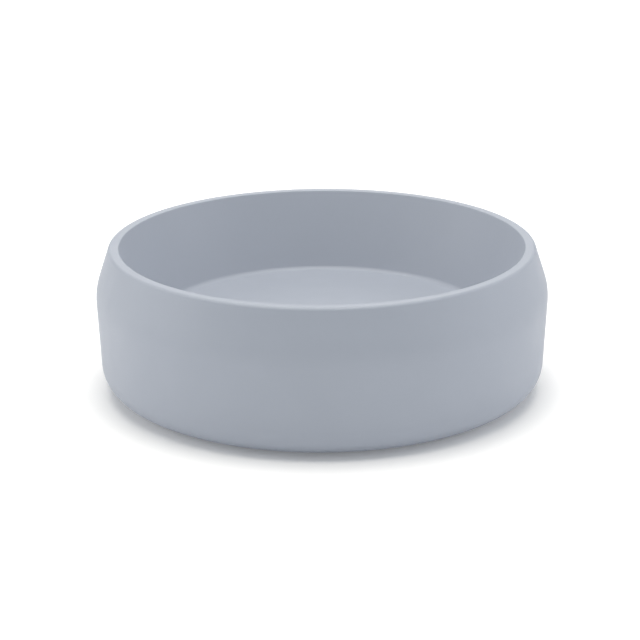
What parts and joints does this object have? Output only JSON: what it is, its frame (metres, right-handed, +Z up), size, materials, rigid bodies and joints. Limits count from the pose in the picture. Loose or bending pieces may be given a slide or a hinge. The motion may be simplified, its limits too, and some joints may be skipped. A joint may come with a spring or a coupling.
{
  "type": "pet bathtub",
  "caption": "Round double-walled bathing bowl for small pets, with a level rim, flat floor, hidden lift-out drain stopper and rubber feet.",
  "frame": {"origin": "centre of the tub at the level of the feet's undersides", "axes": "+Z up along the tub's and the drain's common axis; the tub is round, so +X and -Y are only the picture's right and front"},
  "size_m": [0.5975, 0.5974, 0.195],
  "materials": {
    "tub": "matt powder blue",
    "cover": "matt, a shade darker than the tub",
    "rubber_grey": "matt rubber",
    "rubber_black": "matt rubber",
    "steel": "zinc-bright steel",
    "chrome": "polished chrome plate",
    "nut_plastic": "matt nylon",
    "white_plastic": "matt acetal",
    "grey_plastic": "matt polypropylene",
    "brass": "turned brass"
  },
  "bodies": {
    "tub": {"tub_shell": "tub", "base_cover": "cover", "drain_shroud": "cover", "foot_1": "rubber_grey", "foot_2": "rubber_grey", "foot_3": "rubber_grey", "foot_4": "rubber_grey", "foot_5": "rubber_grey", "foot_6": "rubber_grey", "foot_washers": "steel", "foot_screws": "steel", "waste_body": "chrome", "hose_spigot": "nut_plastic", "flange_seal": "rubber_black", "under_seal": "rubber_black", "slip_washer": "white_plastic", "lock_nut": "nut_plastic"},
    "insert": {"hair_basket": "grey_plastic", "basket_seal": "rubber_black", "cartridge_sleeve": "white_plastic", "cartridge_end": "grey_plastic", "plug_spring": "steel"},
    "plug": {"plunger": "brass", "plug_cap": "chrome", "cap_seal": "rubber_black"},
    "latch": {"latch_ring": "white_plastic"}
  },
  "joints": [
    {"name": "insert_lift", "type": "slide", "parent": "tub", "child": "insert", "axis": [0, 0, 1], "range_m": [0, 0.16]},
    {"name": "plug_lift", "type": "slide", "parent": "insert", "child": "plug", "axis": [0, 0, 1], "range_m": [0, 0.008], "deforming": ["plug_spring"]},
    {"name": "latch_turn", "type": "hinge", "parent": "plug", "child": "latch", "pos_m": [0, 0, 0.063], "axis": [0, 0, 1], "range_deg": [0, 45]}
  ],
  "couplings": [
    {"joint": "latch_turn", "follows": "plug_lift", "rad_per_m": 98.1}
  ]
}
